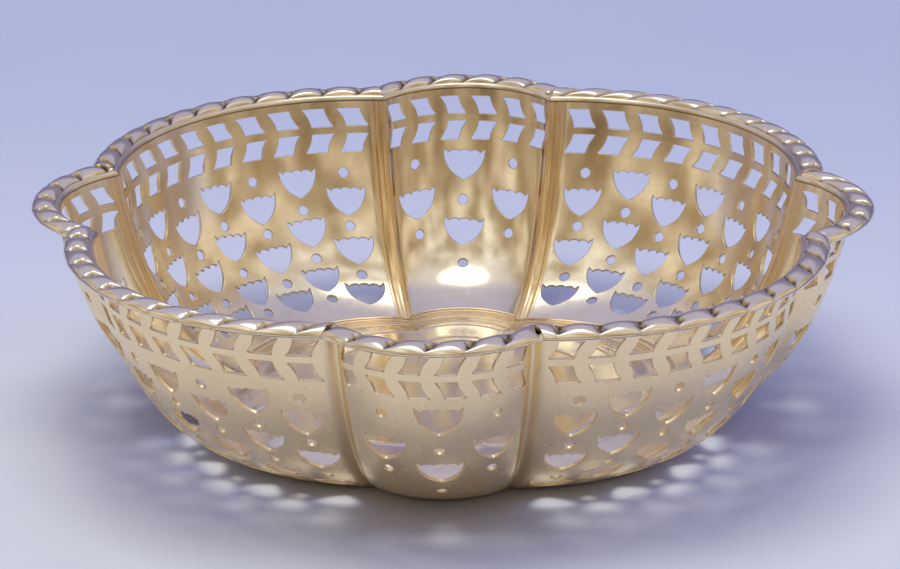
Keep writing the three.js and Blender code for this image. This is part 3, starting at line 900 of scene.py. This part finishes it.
def silverMaterial(name, finish):
    s = silver
    material = bpy.data.materials.new(name)
    material.use_nodes = True
    tree = material.node_tree
    tree.nodes.clear()
    place = addNode(tree, "TexCoord").outputs["Object"]
    marks = {}
    for mark in surfaceMarks:
        node = addNode(tree, "Attribute")
        node.attribute_name = mark
        marks[mark] = node.outputs["Fac"]
    inside = calc(tree, "SUBTRACT", 1.0, marks["outside"])
    pressed = placeGroup(tree, creaseLines, {
        "Distance": marks["crease"], "Spacing": s["creaseLineSpacing"], "Height": s["creaseLineHeight"],
    })
    waves = placeGroup(tree, handWobble, {
        "Vector": place, "Waves Per Metre": 1 / s["wobbleSize"], "Height": finish["wobble"],
    })
    lines = placeGroup(tree, polishMarks, {
        "Vector": place, "Lines Per Metre": 1 / s["scratchSize"], "Height": s["scratchHeight"],
    })

    # Tarnish round cut edges, and painted shade in the rope's slots, pits, collar and mitre ends
    hollow = calc(tree, "MULTIPLY", marks["edge"], finish["hollow"])
    # Painted shade along the creases and round the foot
    hollow = calc(tree, "ADD", hollow, calc(tree, "MULTIPLY", pressed["Mask"], finish["crease"]))
    cleaner = finish["film"] * s["outsideFilm"]
    film = calc(tree, "MULTIPLY_ADD", inside, finish["film"] - cleaner, cleaner)
    # Painted golden reflection along the creases and round the foot
    metal = mixColour(tree, pressed["Mask"], colour(s["metal"]), colour(s["creaseGoldenReflection"]))
    # Painted warm reflection over the whole outer face
    metal = mixColour(tree, marks["outside"], metal, colour(s["outsideWarmReflection"]))
    filmAndShade = placeGroup(tree, tarnishAndShade, {
        "Vector": place, "Metal": metal, "Film And Shade": colour(finish["filmAndShade"]), "Shade And Film Mask": hollow, "Amount": film,
        "Roughness": finish["roughness"],
    })
    wear = calc(tree, "MULTIPLY", inside, s["scratchRoughness"])
    rough = calc(tree, "MULTIPLY_ADD", lines["Mask"], wear, filmAndShade["Roughness"])
    rough = calc(tree, "MULTIPLY_ADD", marks["outside"], s["outsideRoughness"], rough)

    # Pressed lines and polish marks bend the reflections on the inner face only
    fineMarks = calc(tree, "ADD", lines["Height"], pressed["Height"])
    height = calc(tree, "MULTIPLY_ADD", fineMarks, inside, waves["Height"])
    bump = addNode(tree, "Bump", {"Distance": 1.0, "Height": height})
    shader = addNode(tree, "BsdfPrincipled", {
        "Base Color": filmAndShade["Color"], "Metallic": 1.0, "Roughness": rough, "Normal": bump.outputs["Normal"],
    })
    addNode(tree, "OutputMaterial", {"Surface": shader.outputs["BSDF"]})
    return material


polishedSheet = silverMaterial("polishedSheet", sheetFinish)
castRope = silverMaterial("castRope", ropeFinish)
print("bonbon bowl: materials made")

body = raiseBody()
body.data.materials.append(polishedSheet)
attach(body, "root")
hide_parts("pierced_body")
print("bonbon bowl: pierced sheet raised,", len(body.data.polygons), "faces")

for place, lobe, turn in lobes:
    rope = layRope(place, lobe, turn)
    rope.data.materials.append(castRope)
    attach(rope, "root")
    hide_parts("rope_border_" + place)
print("bonbon bowl: rope border laid")

# The studio: a plain pale floor that turns lavender behind the bowl, in metres
studio = {
    "floorNear": (0.63, 0.635, 0.655), "floorFar": (0.40, 0.43, 0.53), "floorTurn": (-0.10, 0.22),
    "floorSize": 4.0, "floorRoughness": 0.6, "floorGloss": 0.25,
    "fibresPerMetre": 30.0, "fibreShare": 0.03,
    "ambientFront": (0.26, 0.27, 0.31), "ambientBack": (0.47, 0.51, 0.84), "ambientTurn": (-0.5, 0.3),
    # What the silver mirrors, by degrees over the horizon behind the bowl: 90 is overhead, 180 in front
    "mirrored": [
        (0, (0.12, 0.10, 0.16)), (12, (0.24, 0.22, 0.40)), (26, (0.28, 0.26, 0.44)), (34, (0.47, 0.46, 0.64)),
        (70, (0.50, 0.49, 0.69)), (82, (0.76, 0.74, 0.76)), (128, (0.72, 0.66, 0.56)),
        (142, (0.57, 0.48, 0.36)), (166, (0.49, 0.39, 0.27)), (170, (0.25, 0.18, 0.11)),
        (173, (0.25, 0.18, 0.11)), (178, (0.49, 0.40, 0.28)),
    ],
    # Uneven room in front of the bowl, as two tints that the colours above are multiplied by
    "patchTints": ((0.60, 0.51, 0.36), (1.55, 1.6, 1.68)), "patches": (4.0, 2.5, 0.55),
    "patchesSeen": (0.36, 0.64), "patchesFrom": (85, 110),
    # What it mirrors to the left and right, how far out that begins and how high over the horizon
    "sideTint": (0.60, 0.50, 0.37), "sideFrom": (0.45, 0.8), "sideOver": (0.1, 0.35),
}


def makeFloor():
    s = studio
    mesh = bpy.data.meshes.new("studioFloor")
    half = s["floorSize"] / 2
    mesh.from_pydata([(-half, -half, 0), (half, -half, 0), (half, half, 0), (-half, half, 0)], [], [(0, 1, 2, 3)])
    floor = addObject("studioFloor", mesh)
    material = bpy.data.materials.new("floorPaper")
    material.use_nodes = True
    tree = material.node_tree
    place = addNode(tree, "TexCoord").outputs["Object"]
    back = ranged(tree, addNode(tree, "SeparateXYZ", {"Vector": place}).outputs["Y"], *s["floorTurn"])
    tint = mixColour(tree, back, colour(s["floorNear"]), colour(s["floorFar"]))
    fibre = calc(tree, "MULTIPLY", noise(tree, place, s["fibresPerMetre"], 3.0), s["fibreShare"])
    feed(tree, tree.nodes["Principled BSDF"], {
        "Base Color": mixColour(tree, fibre, tint, (1, 1, 1, 1)), "Roughness": s["floorRoughness"],
        "Specular IOR Level": s["floorGloss"],
    })
    mesh.materials.append(material)


def makeWorld():
    s = studio
    world = bpy.data.worlds.new("studioAir")
    bpy.context.scene.world = world
    world.use_nodes = True
    tree = world.node_tree
    tree.nodes.clear()
    direction = addNode(tree, "TexCoord").outputs["Generated"]
    split = addNode(tree, "SeparateXYZ", {"Vector": direction}).outputs
    # The light that falls on everything
    behind = ranged(tree, split["Y"], *s["ambientTurn"])
    ambient = mixColour(tree, behind, colour(s["ambientFront"]), colour(s["ambientBack"]))
    # What is mirrored and seen
    turn = calc(tree, "ABSOLUTE", calc(tree, "ARCTAN2", split["Z"], split["Y"]))
    ramp = addNode(tree, "ValToRGB", {"Fac": calc(tree, "DIVIDE", turn, math.pi)})
    stops = ramp.color_ramp.elements
    for i, (degrees, tint) in enumerate(s["mirrored"]):
        stop = stops[i] if i == 0 else stops.new(degrees / 180)
        stop.color = colour(tint)
    stops.remove(stops[-1])
    patch = ranged(tree, noise(tree, direction, *s["patches"]), *s["patchesSeen"])
    patches = mixColour(tree, patch, *(colour(tint) for tint in s["patchTints"]))
    inFront = ranged(tree, turn, *(math.radians(degrees) for degrees in s["patchesFrom"]))
    sideways = ranged(tree, calc(tree, "ABSOLUTE", split["X"]), *s["sideFrom"])
    sideways = calc(tree, "MULTIPLY", sideways, ranged(tree, split["Z"], *s["sideOver"]))
    room = mixColour(tree, sideways, ramp.outputs["Color"], colour(s["sideTint"]))
    room = mixColour(tree, calc(tree, "MAXIMUM", inFront, sideways), room, patches, "MULTIPLY")
    path = addNode(tree, "LightPath").outputs
    shown = calc(tree, "ADD", path["Is Camera Ray"], path["Is Glossy Ray"])
    shown = calc(tree, "MINIMUM", calc(tree, "ADD", shown, path["Is Transmission Ray"]), 1.0)
    soft, seen = (addNode(tree, "Background", {"Color": tint}).outputs[0] for tint in (ambient, room))
    choose = addNode(tree, "MixShader", {0: shown, 1: soft, 2: seen})
    addNode(tree, "OutputWorld", {"Surface": choose.outputs[0]})


# Lamps, in metres and watts: only the mirrored one shows in the silver; the others point at the origin
lamps = {
    "overheadDisc": {
        "place": (-0.02, 0.07, 0.75), "size": (0.43, 0.29), "power": 0.5, "tint": (1.0, 0.97, 0.90),
        "aim": (-0.02, 0.07, 0), "mirrored": True,
    },
    "softTop": {"place": (-0.12, 0.08, 1.0), "size": (0.6, 0.6), "power": 5.9, "tint": (1.0, 0.98, 0.80)},
    "backPanel": {"place": (-0.1, 0.75, 0.9), "size": (0.9, 0.5), "power": 0.8, "tint": (1.0, 0.98, 0.92)},
    "blueWash": {"place": (0.95, 0.35, 0.5), "size": (1.0, 0.8), "power": 4.6, "tint": (0.10, 0.16, 1.0)},
    "blueWashLeft": {"place": (-0.95, 0.35, 0.5), "size": (1.0, 0.8), "power": 2.1, "tint": (0.10, 0.16, 1.0)},
}


def hangLamp(name, settings):
    lamp = bpy.data.lights.new(name, "AREA")
    mirrored = settings.get("mirrored", False)
    lamp.shape = "ELLIPSE" if mirrored else "RECTANGLE"
    lamp.size, lamp.size_y = settings["size"]
    lamp.energy = settings["power"]
    lamp.color = settings["tint"]
    holder = addObject(name, lamp)
    holder.location = settings["place"]
    sight = Vector(settings.get("aim", (0, 0, 0))) - Vector(settings["place"])
    holder.rotation_euler = sight.to_track_quat("-Z", "Y").to_euler()
    holder.visible_glossy = mirrored


makeFloor()
makeWorld()
for lampName, lampSettings in lamps.items():
    hangLamp(lampName, lampSettings)
print("bonbon bowl: studio lit")

# The photograph's camera, in metres and degrees
viewpoint = {
    "distance": 0.748, "elevation": 20.13, "yaw": -2.91, "roll": 0.53,
    "lookRight": -0.0004, "lookUp": -0.01326, "lens": 180.2, "sensor": 36, "clip": (0.05, 20),
}


def placeCamera():
    v = viewpoint
    yaw, tilt, roll = (math.radians(v[k]) for k in ("yaw", "elevation", "roll"))
    right = Vector((math.cos(yaw), -math.sin(yaw), 0))
    away = Vector((math.sin(yaw), math.cos(yaw), 0))
    sight = away * math.cos(tilt) + Vector((0, 0, -math.sin(tilt)))
    up = away * math.sin(tilt) + Vector((0, 0, math.cos(tilt)))
    rim = Vector((0, 0, bowl["ropeHeight"] * mm))
    place = rim - sight * v["distance"] + right * v["lookRight"] + up * v["lookUp"]
    camRight = right * math.cos(roll) - up * math.sin(roll)
    camUp = right * math.sin(roll) + up * math.cos(roll)
    data = bpy.data.cameras.new("photoCamera")
    data.lens = v["lens"]
    data.sensor_width = v["sensor"]
    data.sensor_fit = "HORIZONTAL"
    data.clip_start, data.clip_end = v["clip"]
    camera = addObject("photoCamera", data)
    axes = Matrix((camRight, camUp, -sight)).transposed().to_4x4()
    camera.matrix_world = Matrix.Translation(place) @ axes
    bpy.context.scene.camera = camera


placeCamera()
bpy.context.scene.view_settings.view_transform = "Standard"

print("bonbon bowl: done")
